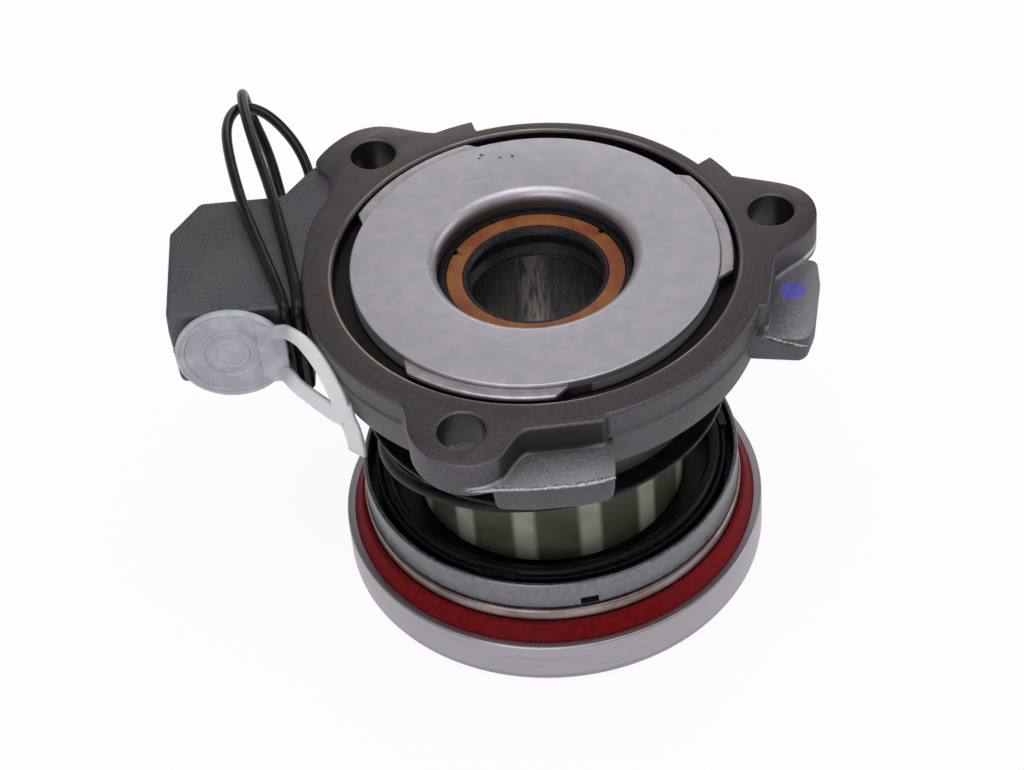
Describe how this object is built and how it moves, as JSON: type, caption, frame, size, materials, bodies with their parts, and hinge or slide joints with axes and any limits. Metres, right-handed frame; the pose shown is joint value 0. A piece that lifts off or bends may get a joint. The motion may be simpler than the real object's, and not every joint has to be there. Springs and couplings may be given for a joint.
{
  "type": "clutch release bearing",
  "caption": "Hydraulic clutch release bearing: flanged cast housing with port block, annular piston on a guide sleeve, preload spring and sealed ball bearing.",
  "frame": {"origin": "on the axis, in the plane of the bearing face that the clutch fingers touch", "axes": "+Z along the axis towards the mounting flange and the gearbox, -X towards the hydraulic block, -Y is the side where the port opens"},
  "size_m": [0.1176, 0.1133, 0.0708],
  "materials": {
    "cast_aluminium": "as cast, dark and grainy, machined brown-grey faces",
    "zinc_steel": "dull, faintly brushed",
    "bearing_steel": "ground",
    "spring_steel": "satin",
    "dull_steel": "dull",
    "black_steel": "black, half gloss",
    "orange_ring": "matte, slightly marbled",
    "dark_rubber": "satin",
    "black_rubber": "satin, slightly oily",
    "red_rubber": "satin",
    "nylon": "natural, translucent",
    "cap_plastic": "translucent, soft"
  },
  "bodies": {
    "housing_group": {"housing": "cast_aluminium", "guide_sleeve": "zinc_steel", "sleeve_o_ring": "black_rubber", "seal_case": "black_steel", "seal_ring": "orange_ring", "seal_lip": "dark_rubber", "garter_spring": "spring_steel", "spring_seat": "dull_steel", "preload_spring": "black_steel", "transport_cap": "cap_plastic", "flange_o_ring": "black_rubber", "port_seal": "black_rubber"},
    "carriage": {"piston": "nylon", "piston_seal": "black_rubber", "spring_cup": "black_steel", "retaining_clip": "spring_steel", "bearing_sleeve": "zinc_steel", "inner_ring": "bearing_steel"},
    "outer_race": {"outer_ring": "bearing_steel", "bearing_seal": "red_rubber"},
    "ball_set": {"ball_cage": "spring_steel", "balls": "bearing_steel"}
  },
  "joints": [
    {"name": "release_slide", "type": "slide", "parent": "housing_group", "child": "carriage", "axis": [0, 0, 1], "range_m": [0, 0.01], "stiffness_N_per_m": 2500, "springref_m": -0.03, "deforming": ["preload_spring"]},
    {"name": "bearing_spin", "type": "hinge", "parent": "carriage", "child": "outer_race", "pos_m": [0, 0, 0.005], "axis": [0, 0, 1], "continuous": true},
    {"name": "cage_spin", "type": "hinge", "parent": "carriage", "child": "ball_set", "pos_m": [0, 0, 0.005], "axis": [0, 0, 1], "continuous": true}
  ],
  "couplings": [
    {"joint": "cage_spin", "follows": "bearing_spin", "ratio": 0.534}
  ]
}
